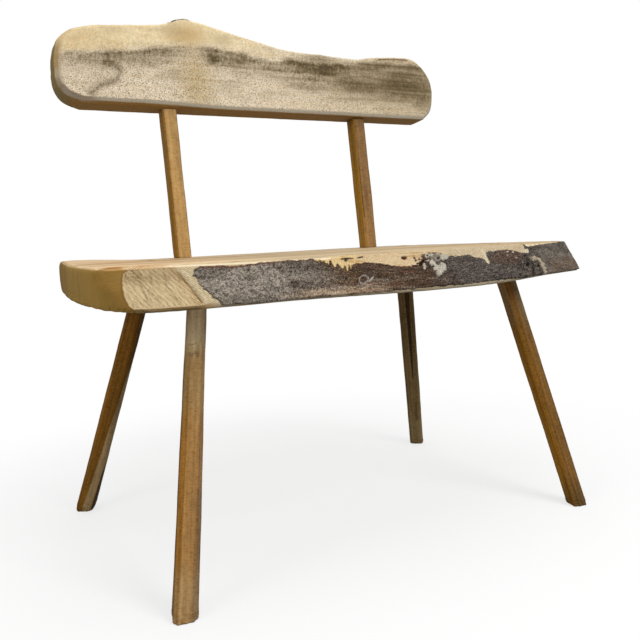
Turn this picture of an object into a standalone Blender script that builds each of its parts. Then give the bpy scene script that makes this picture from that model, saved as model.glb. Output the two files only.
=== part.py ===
"""Rustic staked bench with a live-edge slab seat and a waney backrest.

Four shaved legs and two shaved back posts are staked into a thick slab with round,
wedged through-tenons. The front edge of the slab keeps its bark, and the backrest is
a short waney slab that sits on the two posts.

Metres, +Z up, +X along the bench to the right of someone facing it, +Y to the rear.
Sizes along X start at the centre line between the legs. Sizes along Y start at the
front line, which is near the front arris of the sitting face.
"""
import math

import bmesh
import bpy
from mathutils import Matrix, Vector

# Fits
CLEARANCE = 0.0003           # gap left between two pieces that touch
ROUND_SIDES = 24             # facets of a round tenon or mortise
CURVE_STEPS = 6              # points per stretch of a natural edge
OVERSHOOT = 0.02             # how far a cutter reaches past what it cuts

# Seat slab
SEAT_HEIGHT = 0.430          # floor to sitting face
SEAT_THICKNESS = 0.052
SEAT_DEPTH = 0.403           # front line to the sawn rear edge
LEFT_REACH = 0.394           # centre line to the sawn left end
RIGHT_REACH = 0.435          # centre line to the right tip
RIGHT_MARGIN = 0.028         # rear right corner beyond the axis of the leg next to it
LEFT_FLARE = 0.075           # how far the wide butt end stands behind the rear edge
FLARE_LENGTH = 0.165         # length over which it does so
LEFT_SLANT = 0.026           # how far the left end curves in towards the rear
CORNER_EASE = 0.022          # corner taken off the two rear corners
SEAT_ARRIS = 0.003           # worn arris round the slab
WANE_SWELL = 0.005           # swell of the natural face between its two arrises
SWELL_RISE = 24              # points from the left end over which the swell grows

# Natural front edge: share of the length, setback of the top arris, setback of the bottom
FRONT_EDGE = (
    (0.000, 0.110, 0.098),
    (0.008, 0.093, 0.050),
    (0.022, 0.086, 0.016),
    (0.050, 0.090, -0.008),
    (0.112, 0.080, -0.018),
    (0.178, 0.052, -0.022),
    (0.292, 0.010, -0.023),
    (0.448, 0.032, -0.049),
    (0.592, 0.030, -0.054),
    (0.712, 0.014, -0.031),
    (0.856, 0.042, 0.015),
    (0.985, 0.077, 0.045),
)

# Bark left on the front edge
BARK_THICKNESS = 0.007       # at its upper and lower edge, measured along Y
BARK_START = 0.140           # share of the length where the bark begins
BARE_STRIP = 0.003           # bare wood between the bark and each worn arris

# Legs
FOOT_ARRIS = 0.002           # worn rim of a foot
# Heads are set out from the centre line, and in from the bark bed or the rear edge, at the
# underside. Splay is how far the foot stands out sideways and along, to the front or rear.
# Shaving is the share of a side that each corner loses, and turn is about the leg's axis.
LEGS = {
    "front_left_leg": dict(side=-1, row=-1, head_out=0.265, head_inset=0.0195, splay_out=0.074,
                           splay_along=0.092, head_width=0.0241, foot_width=0.0312,
                           shaving=0.22, turn=math.radians(-12.0)),
    "front_right_leg": dict(side=1, row=-1, head_out=0.284, head_inset=0.0475, splay_out=0.043,
                            splay_along=0.117, head_width=0.0245, foot_width=0.0232,
                            shaving=0.10, turn=math.radians(-16.0)),
    "rear_left_leg": dict(side=-1, row=1, head_out=0.2655, head_inset=0.058, splay_out=0.098,
                          splay_along=0.100, head_width=0.0272, foot_width=0.0280,
                          shaving=0.20, turn=math.radians(60.0)),
    "rear_right_leg": dict(side=1, row=1, head_out=0.264, head_inset=0.058, splay_out=0.071,
                           splay_along=0.066, head_width=0.0306, foot_width=0.0271,
                           shaving=0.10, turn=math.radians(-36.0)),
}

# Back posts and backrest
BACK_LEAN = math.radians(7.0)
POST_SPAN = 0.374            # between the post axes
POST_OFFSET = -0.003         # middle of the post axes, from the centre line
POST_INSET = 0.054           # post axes in front of the rear edge, at the sitting face
LEFT_POST_WIDTH = 0.0244
RIGHT_POST_WIDTH = 0.0257
POST_SHAVING = 0.10          # share of a side that each corner loses
POST_CLEAR_LENGTH = 0.248    # seen length of a post, seat to backrest
POST_SOCKET_DEPTH = 0.060    # upper tenon inside the backrest
SOCKET_END_SPACE = 0.001     # left free at the end of that socket
BACK_THICKNESS = 0.050

# Backrest outline, from its lower middle: along, up, width of the shaved bevel
BACK_OUTLINE = (
    (-0.330, 0.000, 0.005),
    (-0.356, 0.010, 0.008),
    (-0.368, 0.030, 0.010),
    (-0.369, 0.055, 0.010),
    (-0.366, 0.078, 0.009),
    (-0.354, 0.098, 0.007),
    (-0.318, 0.118, 0.004),
    (-0.226, 0.130, 0.003),
    (-0.186, 0.138, 0.003),
    (-0.160, 0.147, 0.003),
    (-0.135, 0.147, 0.003),
    (-0.050, 0.129, 0.003),
    (0.030, 0.114, 0.003),
    (0.110, 0.111, 0.003),
    (0.180, 0.109, 0.003),
    (0.240, 0.117, 0.003),
    (0.300, 0.121, 0.004),
    (0.329, 0.116, 0.006),
    (0.352, 0.098, 0.008),
    (0.363, 0.076, 0.008),
    (0.363, 0.042, 0.008),
    (0.354, 0.018, 0.007),
    (0.333, 0.000, 0.005),
)

# Tenons and wedges
TENON_WIDTH = 0.019
WEDGE_DEPTH = 0.030          # how far a wedge is driven in
WEDGE_BUTT = 0.0044          # its thickness at the driven end
WEDGE_TIP = 0.0014           # its thickness at the inner end

SEAT_UNDERSIDE = SEAT_HEIGHT - SEAT_THICKNESS
BARE_EDGE = SEAT_ARRIS + BARE_STRIP
SEAT_LENGTH = LEFT_REACH + RIGHT_REACH

for old in list(bpy.data.objects):
    bpy.data.objects.remove(old, do_unlink=True)

bench = bpy.data.collections.new("rustic_bench")
cutters = bpy.data.collections.new("cutters")
bpy.context.scene.collection.children.link(bench)
bpy.context.scene.collection.children.link(cutters)
root = bpy.data.objects.new("bench_root", None)
bench.objects.link(root)


def make_material(name, colour, roughness):
    material = bpy.data.materials.new(name)
    material.use_nodes = True
    shader = material.node_tree.nodes["Principled BSDF"]
    shader.inputs["Base Color"].default_value = (*colour, 1.0)
    shader.inputs["Roughness"].default_value = roughness
    shader.inputs["Metallic"].default_value = 0.0
    return material


SLAB_WOOD = make_material("oiled_slab_wood", (0.40, 0.24, 0.12), 0.55)
BARK = make_material("bark", (0.16, 0.12, 0.10), 0.90)
SPALTED_WOOD = make_material("spalted_wood", (0.58, 0.42, 0.24), 0.55)
STAVE_WOOD = make_material("shaved_stave_wood", (0.45, 0.25, 0.10), 0.50)
WEDGE_WOOD = make_material("wedge_wood", (0.30, 0.17, 0.08), 0.60)


def link(name, mesh_data, material=None):
    """Turn a bmesh into a named piece, or into a cutter when it has no material."""
    mesh_data.normal_update()
    bmesh.ops.recalc_face_normals(mesh_data, faces=mesh_data.faces)
    mesh = bpy.data.meshes.new(name)
    mesh_data.to_mesh(mesh)
    mesh_data.free()
    piece = bpy.data.objects.new(name, mesh)
    piece.parent = root
    if material is None:
        cutters.objects.link(piece)
        piece.hide_render = True
        piece.display_type = "WIRE"
    else:
        bench.objects.link(piece)
        mesh.materials.append(material)
        mesh.shade_smooth()
        mesh.set_sharp_from_angle(angle=math.radians(25))
    return piece


def combine(piece, other, operation):
    modifier = piece.modifiers.new(operation.lower() + "_" + other.name, "BOOLEAN")
    modifier.operation = operation
    modifier.object = other


def loft(loops):
    """Skin closed loops of equal length and cap the two ends."""
    skin = bmesh.new()
    rings = [[skin.verts.new(point) for point in loop] for loop in loops]
    for lower, upper in zip(rings, rings[1:]):
        for i in range(len(lower)):
            skin.faces.new((lower[i - 1], lower[i], upper[i], upper[i - 1]))
    bmesh.ops.triangulate(skin, faces=skin.faces, quad_method="FIXED")
    skin.faces.new(rings[0])
    skin.faces.new(rings[-1])
    return skin


def smooth_run(points):
    """Pass a Catmull-Rom curve through an open run of points of any dimension."""
    ends = [points[0]] + list(points) + [points[-1]]
    run = []
    for a, b, c, d in zip(ends, ends[1:], ends[2:], ends[3:]):
        for step in range(CURVE_STEPS):
            t = step / CURVE_STEPS
            run.append(tuple(
                0.5 * (2 * q + (r - p) * t + (2 * p - 5 * q + 4 * r - s) * t * t
                       + (3 * q - p - 3 * r + s) * t ** 3)
                for p, q, r, s in zip(a, b, c, d)))
    run.append(tuple(points[-1]))
    return run


def inset_loop(loop, widths):
    """Move each point of a flat, anticlockwise loop inwards by its own width."""
    moved = []
    for i, (x, y) in enumerate(loop):
        before = Vector(loop[i - 1])
        after = Vector(loop[(i + 1) % len(loop)])
        along = (after - before).normalized()
        moved.append((x - along.y * widths[i], y + along.x * widths[i]))
    return moved


def front_stations():
    """Give the natural edge as places along X with its top and bottom setback."""
    return [(-LEFT_REACH + share * SEAT_LENGTH, top, bottom) for share, top, bottom in FRONT_EDGE]


def bark_bed_at(x):
    """Setback of the bark bed at the sitting face, at a place along the bench."""
    run = smooth_run(front_stations())
    for (x0, top0, _), (x1, top1, _) in zip(run, run[1:]):
        if x0 <= x <= x1:
            return top0 + (top1 - top0) * (x - x0) / (x1 - x0) + BARK_THICKNESS


def seat_outlines():
    """Give the plan of the slab at the sitting face and at the underside."""
    edge = smooth_run(front_stations())
    tip_top = FRONT_EDGE[-1][1] + CORNER_EASE
    tip_bottom = FRONT_EDGE[-1][2] + CORNER_EASE
    right_corner = LEGS["rear_right_leg"]["head_out"] + RIGHT_MARGIN
    left_corner = -LEFT_REACH + LEFT_SLANT
    rear_end = SEAT_DEPTH + LEFT_FLARE
    rest = [(right_corner, SEAT_DEPTH - CORNER_EASE), (right_corner - CORNER_EASE, SEAT_DEPTH)]
    bend = [step / CURVE_STEPS for step in range(CURVE_STEPS + 1)]
    flare_run = FLARE_LENGTH - CORNER_EASE
    for t in bend:
        rest.append((left_corner + FLARE_LENGTH - flare_run * t, SEAT_DEPTH + LEFT_FLARE * t * t))
    end_run = rear_end - CORNER_EASE - FRONT_EDGE[0][1]
    for t in bend[:0:-1]:
        rest.append((-LEFT_REACH + LEFT_SLANT * t * t, FRONT_EDGE[0][1] + end_run * t))
    top = [(x, y) for x, y, _ in edge] + [(RIGHT_REACH, tip_top)] + rest
    bottom = [(x, y) for x, _, y in edge] + [(edge[-1][0], tip_bottom)] + rest
    return top, bottom


def slab_body():
    """Loft the slab with worn arrises and a swollen natural face."""
    top, bottom = seat_outlines()
    worn = [SEAT_ARRIS] * len(top)
    middle = [((a[0] + b[0]) / 2, (a[1] + b[1]) / 2) for a, b in zip(top, bottom)]
    edge_end = (len(FRONT_EDGE) - 1) * CURVE_STEPS
    swell = [-WANE_SWELL * min(1.0, i / SWELL_RISE) if i < edge_end else 0.0
             for i in range(len(top))]
    levels = (
        (inset_loop(bottom, worn), SEAT_UNDERSIDE),
        (bottom, SEAT_UNDERSIDE + SEAT_ARRIS),
        (inset_loop(middle, swell), SEAT_UNDERSIDE + SEAT_THICKNESS / 2),
        (top, SEAT_HEIGHT - SEAT_ARRIS),
        (inset_loop(top, worn), SEAT_HEIGHT),
    )
    return loft([[(x, y, z) for x, y in loop] for loop, z in levels])


def bark_zone(name, ease):
    """Fill the space that the bark takes up in the slab's front, grown by an ease."""
    start = -LEFT_REACH + BARK_START * SEAT_LENGTH - ease
    run = front_stations()
    last_top, last_bottom = run[-1][1:]
    run.append((RIGHT_REACH + OVERSHOOT, last_top + OVERSHOOT, last_bottom + OVERSHOOT))
    stations = [point for point in smooth_run(run) if point[0] > start]
    low = SEAT_UNDERSIDE + BARE_EDGE - ease
    high = SEAT_HEIGHT - BARE_EDGE + ease
    sections = []
    for x, top, bottom in stations:
        lean = (top - bottom) / (SEAT_THICKNESS - 2 * BARE_EDGE)
        behind = BARK_THICKNESS + ease * math.hypot(1.0, lean)
        sections.append((
            (x, bottom + behind - lean * ease, low),
            (x, top + behind + lean * ease, high),
            (x, bottom - 2 * OVERSHOOT, high),
            (x, bottom - 2 * OVERSHOOT, low),
        ))
    first = [(start, y, z) for _, y, z in sections[0]]
    return link(name, loft([first] + sections))


def axis_frame(low, high):
    """Frame at the low end with Z along the axis and X as near to world X as it can be."""
    z_axis = (high - low).normalized()
    y_axis = z_axis.cross(Vector((1, 0, 0))).normalized()
    x_axis = y_axis.cross(z_axis)
    turn = Matrix((x_axis, y_axis, z_axis)).transposed().to_4x4()
    return Matrix.Translation(low) @ turn


def stave(low, high, low_width, high_width, shaving, turn):
    """A square, tapered stave with its four corners shaved off, longer than its axis."""
    length = (high - low).length
    grow = (high_width - low_width) / length
    body = bmesh.new()
    bmesh.ops.create_cube(body, size=1.0)
    for vert in body.verts:
        z = (vert.co.z + 0.5) * (length + 2 * OVERSHOOT) - OVERSHOOT
        width = low_width + grow * z
        vert.co = (vert.co.x * width, vert.co.y * width, z)
    corners = [e for e in body.edges if abs(e.verts[0].co.z - e.verts[1].co.z) > length / 2]
    shaved = shaving * (low_width + high_width) / 2
    bmesh.ops.bevel(body, geom=corners, offset=shaved, affect="EDGES", segments=1, profile=0.5)
    body.transform(axis_frame(low, high) @ Matrix.Rotation(turn, 4, "Z"))
    return body


def trim(body, point, normal):
    """Cut a body flat at a plane and take away the side that the normal points to."""
    geometry = body.verts[:] + body.edges[:] + body.faces[:]
    cut = bmesh.ops.bisect_plane(body, geom=geometry, plane_co=point, plane_no=normal,
                                 clear_outer=True)
    rim = [part for part in cut["geom_cut"] if isinstance(part, bmesh.types.BMEdge)]
    bmesh.ops.contextual_create(body, geom=rim)
    return rim


def rod(low, high, width):
    """A plain round rod between two points."""
    length = (high - low).length
    body = bmesh.new()
    middle = Matrix.Translation((0, 0, length / 2))
    bmesh.ops.create_cone(body, cap_ends=True, segments=ROUND_SIDES, radius1=width / 2,
                          radius2=width / 2, depth=length, matrix=middle)
    body.transform(axis_frame(low, high))
    return body


def wedge_shape(butt, towards, ease, width):
    """A tapered wedge that points from its butt along a direction, grown by an ease."""
    body = bmesh.new()
    bmesh.ops.create_cube(body, size=1.0)
    slope = (WEDGE_BUTT - WEDGE_TIP) / WEDGE_DEPTH
    for vert in body.verts:
        z = WEDGE_DEPTH + ease if vert.co.z > 0 else -OVERSHOOT
        thickness = WEDGE_BUTT - slope * z + 2 * ease
        vert.co = (math.copysign(thickness / 2, vert.co.x), math.copysign(width / 2, vert.co.y), z)
    body.transform(axis_frame(butt, butt + towards))
    return body


def wedge_into(piece, name, butt, towards, face_normal):
    """Saw a kerf into a tenon and drive a wedge into it, flush with the slab."""
    kerf = link(name + "_kerf", wedge_shape(butt, towards, CLEARANCE, 2 * TENON_WIDTH))
    combine(piece, kerf, "DIFFERENCE")
    chord = math.sqrt((TENON_WIDTH / 2 - CLEARANCE) ** 2 - (WEDGE_BUTT / 2) ** 2)
    driven = wedge_shape(butt, towards, 0.0, 2 * chord * math.cos(math.pi / ROUND_SIDES))
    trim(driven, butt, face_normal)
    link(name, driven, WEDGE_WOOD)


UP = Vector((0, 0, 1))

seat_slab = link("seat_slab", slab_body(), SLAB_WOOD)
front_bark = link("front_bark", slab_body(), BARK)
combine(front_bark, bark_zone("bark_layer", 0.0), "INTERSECT")
combine(seat_slab, bark_zone("bark_bed", CLEARANCE), "DIFFERENCE")

# Legs: each is staked up through the slab, cut flush and wedged from above
for leg_name, leg_sizes in LEGS.items():
    side = leg_sizes["side"]
    row = leg_sizes["row"]
    head_x = side * leg_sizes["head_out"]
    edge_y = bark_bed_at(head_x) if row < 0 else SEAT_DEPTH
    head = Vector((head_x, edge_y - row * leg_sizes["head_inset"], SEAT_UNDERSIDE))
    foot = Vector((head_x + side * leg_sizes["splay_out"], head.y + row * leg_sizes["splay_along"], 0.0))
    axis = (head - foot).normalized()
    crown = head + axis * (SEAT_THICKNESS / axis.z)
    beyond = axis * OVERSHOOT

    leg_body = stave(foot, head, leg_sizes["foot_width"], leg_sizes["head_width"],
                     leg_sizes["shaving"], leg_sizes["turn"])
    trim(leg_body, head - UP * CLEARANCE, UP)
    foot_rim = trim(leg_body, foot, -UP)
    bmesh.ops.bevel(leg_body, geom=foot_rim, offset=FOOT_ARRIS, affect="EDGES", segments=1,
                    profile=0.5)
    leg = link(leg_name, leg_body, STAVE_WOOD)

    tenon = rod(head - beyond, crown + beyond, TENON_WIDTH)
    trim(tenon, crown, UP)
    combine(leg, link(leg_name + "_tenon", tenon), "UNION")
    mortise = rod(head - beyond, crown + beyond, TENON_WIDTH + 2 * CLEARANCE)
    combine(seat_slab, link(leg_name + "_mortise", mortise), "DIFFERENCE")
    wedge_into(leg, leg_name + "_wedge", crown, -axis, UP)

# Backrest: a waney slab, bevelled with a drawknife, that leans with the posts
lean_up = Vector((0, math.sin(BACK_LEAN), math.cos(BACK_LEAN)))
lean_back = Vector((0, math.cos(BACK_LEAN), -math.sin(BACK_LEAN)))
post_foot_y = SEAT_DEPTH - POST_INSET
back_foot = Vector((0, post_foot_y, SEAT_HEIGHT)) + lean_up * POST_CLEAR_LENGTH

outline = smooth_run(BACK_OUTLINE)[::-1]
flat_outline = [(along, up) for along, up, _ in outline]
bevels = [bevel for _, _, bevel in outline]
shaved_outline = inset_loop(flat_outline, bevels)


def on_backrest(points, depths):
    return [back_foot + Vector((x, 0, 0)) + lean_up * y + lean_back * depth
            for (x, y), depth in zip(points, depths)]


half = BACK_THICKNESS / 2
backrest_slab = link("backrest_slab", loft([
    on_backrest(shaved_outline, [-half] * len(outline)),
    on_backrest(flat_outline, [bevel - half for bevel in bevels]),
    on_backrest(flat_outline, [half - bevel for bevel in bevels]),
    on_backrest(shaved_outline, [half] * len(outline)),
]), SPALTED_WOOD)

# Posts: staked down through the slab, wedged from below, blind into the backrest
POSTS = (("left_back_post", -1, LEFT_POST_WIDTH), ("right_back_post", 1, RIGHT_POST_WIDTH))
for post_name, side, post_width in POSTS:
    seat_end = Vector((POST_OFFSET + side * POST_SPAN / 2, post_foot_y, SEAT_HEIGHT))
    back_end = seat_end + lean_up * POST_CLEAR_LENGTH
    under_end = seat_end - lean_up * (SEAT_THICKNESS / lean_up.z)
    socket_end = back_end + lean_up * POST_SOCKET_DEPTH
    beyond = lean_up * OVERSHOOT

    post_body = stave(seat_end, back_end, post_width, post_width, POST_SHAVING, 0.0)
    trim(post_body, seat_end + UP * CLEARANCE, -UP)
    trim(post_body, back_end - lean_up * CLEARANCE, lean_up)
    post = link(post_name, post_body, STAVE_WOOD)

    tenon = rod(under_end - beyond, socket_end, TENON_WIDTH)
    trim(tenon, under_end, -UP)
    combine(post, link(post_name + "_tenon", tenon), "UNION")
    mortise_width = TENON_WIDTH + 2 * CLEARANCE
    mortise = rod(under_end - beyond, seat_end + beyond, mortise_width)
    combine(seat_slab, link(post_name + "_mortise", mortise), "DIFFERENCE")
    socket = rod(back_end - beyond, socket_end + lean_up * SOCKET_END_SPACE, mortise_width)
    combine(backrest_slab, link(post_name + "_socket", socket), "DIFFERENCE")
    wedge_into(post, post_name + "_wedge", under_end, lean_up, -UP)


def stand_on_origin():
    """Put the middle of the bench's footprint on the origin, with its feet at zero."""
    bpy.context.view_layer.update()
    graph = bpy.context.evaluated_depsgraph_get()
    points = [vert.co for piece in bench.objects if piece.type == "MESH"
              for vert in piece.evaluated_get(graph).data.vertices]
    for axis_index in (0, 1):
        values = [point[axis_index] for point in points]
        root.location[axis_index] = -(min(values) + max(values)) / 2
    root.location.z = -min(point.z for point in points)


stand_on_origin()
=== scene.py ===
import math

import bmesh
import bpy
import numpy as np
from mathutils import Matrix, Vector, noise
from mathutils.bvhtree import BVHTree


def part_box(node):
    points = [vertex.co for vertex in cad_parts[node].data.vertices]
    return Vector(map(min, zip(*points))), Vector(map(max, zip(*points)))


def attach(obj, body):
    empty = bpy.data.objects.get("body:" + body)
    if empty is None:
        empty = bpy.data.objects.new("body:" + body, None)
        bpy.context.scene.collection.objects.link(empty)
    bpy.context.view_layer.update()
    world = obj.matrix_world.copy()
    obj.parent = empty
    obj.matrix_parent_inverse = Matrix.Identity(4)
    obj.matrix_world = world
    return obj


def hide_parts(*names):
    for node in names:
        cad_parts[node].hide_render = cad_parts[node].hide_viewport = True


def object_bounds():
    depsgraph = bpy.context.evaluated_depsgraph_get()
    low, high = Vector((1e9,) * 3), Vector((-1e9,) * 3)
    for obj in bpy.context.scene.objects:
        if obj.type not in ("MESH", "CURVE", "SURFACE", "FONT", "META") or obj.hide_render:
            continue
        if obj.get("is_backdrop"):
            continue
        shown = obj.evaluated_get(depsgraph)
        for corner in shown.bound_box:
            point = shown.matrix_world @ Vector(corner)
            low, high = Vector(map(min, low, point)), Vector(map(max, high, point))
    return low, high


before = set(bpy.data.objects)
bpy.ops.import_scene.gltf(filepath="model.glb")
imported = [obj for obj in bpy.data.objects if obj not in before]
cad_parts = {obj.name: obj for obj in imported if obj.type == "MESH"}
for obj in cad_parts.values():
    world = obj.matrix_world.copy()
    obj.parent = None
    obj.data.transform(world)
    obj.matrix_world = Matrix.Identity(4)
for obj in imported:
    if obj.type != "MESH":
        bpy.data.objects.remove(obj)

cad_low, cad_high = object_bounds()


# Camera
# The picture is taken from the front left, a hand's breadth above the seat, looking slightly
# down and tipped a little to one side. Lens and place were fitted to the feet and edges.
CAMERA_PLACE = Vector((-0.6131, -1.028, 0.4614))
CAMERA_YAW = math.radians(29.607)
CAMERA_PITCH = math.radians(6.882)
CAMERA_ROLL = math.radians(-2.438)
IMAGE_WIDTH = 640
FOCAL_PIXELS = 718.07

camera_data = bpy.data.cameras.new("photo_view")
camera_data.sensor_width = 36.0
camera_data.lens = camera_data.sensor_width * FOCAL_PIXELS / IMAGE_WIDTH
camera = bpy.data.objects.new("photo_view", camera_data)
turned = Matrix.Rotation(-CAMERA_YAW, 4, "Z")
tipped = Matrix.Rotation(math.pi / 2 - CAMERA_PITCH, 4, "X")
rolled = Matrix.Rotation(CAMERA_ROLL, 4, "Z")
camera.matrix_world = Matrix.Translation(CAMERA_PLACE) @ turned @ tipped @ rolled
bpy.context.scene.collection.objects.link(camera)
bpy.context.scene.camera = camera
bpy.context.scene.view_settings.view_transform = "Standard"


# Seat slab
# A thick slab, through-sawn from a log and planed on top. Its left end is cross-cut and
# rounded over, a second saw cut takes off the corner beside it, and six round mortises are
# bored through it for the legs and posts.
SEAT_MESH = 0.0042                 # even mesh of the slab
CORNER_CUTS = 3                    # cuts that make the mesh finer on the sawn corner and the arrises
PITH = np.array((0.0, 0.05, 0.19))     # heart of the log, a line along X below the slab
BORE_WIDTH = 0.0196
STAVES = ("front_left_leg", "front_right_leg", "rear_left_leg", "rear_right_leg",
          "left_back_post", "right_back_post")
seat_low, seat_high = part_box("seat_slab")


def merged_copy(node):
    """Copy a solid's loose triangles and merge them into one skin."""
    skin = bmesh.new()
    skin.from_mesh(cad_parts[node].data)
    bmesh.ops.remove_doubles(skin, verts=skin.verts, dist=1e-5)
    return skin


def set_up(name, skin):
    """Make an object of a skin, at the origin."""
    mesh = bpy.data.meshes.new(name)
    skin.to_mesh(mesh)
    skin.free()
    piece = bpy.data.objects.new(name, mesh)
    bpy.context.scene.collection.objects.link(piece)
    return piece


def take_shape(piece):
    """Replace a piece's mesh with what its modifiers make of it."""
    graph = bpy.context.evaluated_depsgraph_get()
    shaped = bpy.data.meshes.new_from_object(piece.evaluated_get(graph))
    piece.modifiers.clear()
    piece.data = shaped


def even_mesh(piece, size, worn_rounds):
    """Cover a piece with small even quads and wear its sharp arrises round."""
    remesh = piece.modifiers.new("even_mesh", "REMESH")
    remesh.mode = "VOXEL"
    remesh.voxel_size = size
    if worn_rounds:
        worn = piece.modifiers.new("worn_arrises", "SMOOTH")
        worn.factor = 0.5
        worn.iterations = worn_rounds
    take_shape(piece)


def read(piece, what="co"):
    """Read the place or the normal of every vertex as rows of X, Y and Z."""
    rows = np.empty(3 * len(piece.data.vertices), np.float32)
    piece.data.vertices.foreach_get(what, rows)
    return rows.reshape(-1, 3).astype(float)


def move(piece, places):
    """Put every vertex in its place."""
    piece.data.vertices.foreach_set("co", places.astype(np.float32).ravel())
    piece.data.update()


def paint(piece, **layers):
    """Keep numbers or vectors at each vertex for the piece's material."""
    for name, values in layers.items():
        kind, field = ("FLOAT", "value") if values.ndim == 1 else ("FLOAT_VECTOR", "vector")
        layer = piece.data.attributes.new(name, kind, "POINT")
        layer.data.foreach_set(field, values.astype(np.float32).ravel())


def lumps(places, size, seed, octaves=3):
    """Smooth noise of about -1 to 1, in lumps of one size or of a size along each axis."""
    spread = places / np.array(size) + 17.3 * seed
    return np.array([noise.fractal(place, 1.0, 2.0, octaves) for place in spread.tolist()])


def ramp(low, high, values):
    """Ease from 0 at low to 1 at high."""
    share = np.clip((values - low) / (high - low), 0.0, 1.0)
    return share * share * (3.0 - 2.0 * share)


def within(values, start, full, fade, end):
    """1 from full to fade, easing to 0 at start and at end."""
    return ramp(start, full, values) * ramp(end, fade, values)


def linear(hex_code):
    """Turn an sRGB hex colour into the linear values that a shader takes."""
    shares = [int(hex_code[i:i + 2], 16) / 255 for i in (1, 3, 5)]
    return tuple(s / 12.92 if s <= 0.04045 else ((s + 0.055) / 1.055) ** 2.4 for s in shares)


def ground(hex_code, rows):
    """One colour for every row."""
    return np.tile(linear(hex_code), (len(rows), 1))


def coats(tint, *layers):
    """Lay coats over rows of colour, one after another, each with a share for every row."""
    for share, hex_code in layers:
        share = np.clip(share, 0.0, 1.0)[:, None]
        tint = tint * (1 - share) + np.array(linear(hex_code)) * share
    return tint


def stave_axis(node):
    """The two ends of a stave's axis, at the middles of its end faces."""
    places = np.array([vert.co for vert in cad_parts[node].data.vertices])
    end_depth = 0.003
    heights = places[:, 2]
    low = places[heights < heights.min() + end_depth]
    high = places[heights > heights.max() - end_depth]
    return Vector((low.min(0) + low.max(0)) / 2), Vector((high.min(0) + high.max(0)) / 2)


def rod_along(skin, start, end, width, sides):
    """Add a round rod between two points to a skin."""
    axis = end - start
    turn = axis.to_track_quat("Z", "Y").to_matrix().to_4x4()
    place = Matrix.Translation((start + end) / 2) @ turn
    bmesh.ops.create_cone(skin, cap_ends=True, segments=sides, radius1=width / 2,
                          radius2=width / 2, depth=axis.length, matrix=place)


def through_seat(node, spare):
    """Where a stave's axis passes the slab's two faces, with a spare length beyond them."""
    low, high = stave_axis(node)
    per_height = (high - low) / (high.z - low.z)
    start = low + per_height * (seat_low.z - spare - low.z)
    return start, low + per_height * (seat_high.z + spare - low.z)


# The mortises are plugged while the slab is worked, and bored again afterwards
PLUG_SHORT = 0.0005                # how far a plug stays below the slab's faces
PLUG_SPARE = 0.003                 # how much wider than its bore it is
PLUG_SIDES = 32
BORE_SIDES = 48
BORE_SPARE = 0.02
SEAT_WORN = 3                      # rounds that wear the arrises of the even mesh
seat_skin = merged_copy("seat_slab")
for stave in STAVES:
    rod_along(seat_skin, *through_seat(stave, -PLUG_SHORT), BORE_WIDTH + PLUG_SPARE, PLUG_SIDES)
seat = set_up("seat_slab_planed", seat_skin)
even_mesh(seat, SEAT_MESH, SEAT_WORN)

# Edges of the sawn facet on the front corner: heights and places along the bench
FACET_EDGE = np.array((
    (378, -386.8), (383.4, -390.8), (386.6, -393.1), (392, -393.9), (397.5, -393.4), (404.1, -392),
    (410.6, -389.2), (417.2, -385.5), (421.7, -381.6), (424, -377.3), (425.6, -371.3),
    (430, -360.8))) / 1000
FACET_RIDGE = np.array((
    (378, -312.2), (383.6, -312.6), (405.2, -315), (419.1, -315.8), (430, -318))) / 1000
FACET_TOE = 0.3836
FACET_CREST = 0.4262
# Long scars across the facet, as places along the bench and heights in millimetres
FACET_SCARS = (
    ((-331.6, 421.7), (-341.8, 405), (-337.7, 385.6)),
    ((-365.3, 421.3), (-370.3, 406.2), (-373.5, 386.4)),
    ((-349.4, 421.3), (-357, 407.9)),
    ((-366.8, 406.2), (-360.7, 392.3)))

# The even mesh leaves small steps on the two rims of the left end, which are smoothed away
UPPER_RIM_ROUNDS = 5
LOW_RIM_ROUNDS = 16
corner = bmesh.new()
corner.from_mesh(seat.data)
upper_rim = [vert for vert in corner.verts if vert.co.x < -0.385 and vert.co.z > 0.412]
low_rim = [vert for vert in corner.verts
           if vert.co.x < -0.33 and vert.co.z < 0.4 and vert.co.y > -0.09]
for rim, rounds in ((upper_rim, UPPER_RIM_ROUNDS), (low_rim, LOW_RIM_ROUNDS)):
    for each in range(rounds):
        bmesh.ops.smooth_vert(corner, verts=rim, factor=0.5, use_axis_x=True, use_axis_y=True,
                              use_axis_z=True)


def needs_detail(vert):
    """Is a point on the sawn corner, the front crest or the rounded rim of the left end?"""
    x, y, z = vert.co
    on_corner = x < -0.27 and y < 0.1 and abs(vert.normal.z) < 0.96
    on_crest = x < 0.27 and z > 0.421 and vert.normal.y < -0.08
    on_rim = x < -0.33 and z > 0.42 and vert.normal.z < 0.996
    return on_corner or on_crest or on_rim


fine_edges = [edge for edge in corner.edges if all(needs_detail(vert) for vert in edge.verts)]
bmesh.ops.subdivide_edges(corner, edges=fine_edges, cuts=CORNER_CUTS, use_grid_fill=True)
corner.to_mesh(seat.data)
corner.free()


def from_line(rows, line):
    """Distance of rows of two from a line, which runs through places in millimetres."""
    nearest = np.full(len(rows), 1.0)
    line = np.array(line) / 1000
    for start, end in zip(line, line[1:]):
        run = end - start
        share = np.clip(((rows - start) @ run) / (run @ run), 0, 1)
        nearest = np.minimum(nearest, np.hypot(*(rows - start - share[:, None] * run).T))
    return nearest


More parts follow.
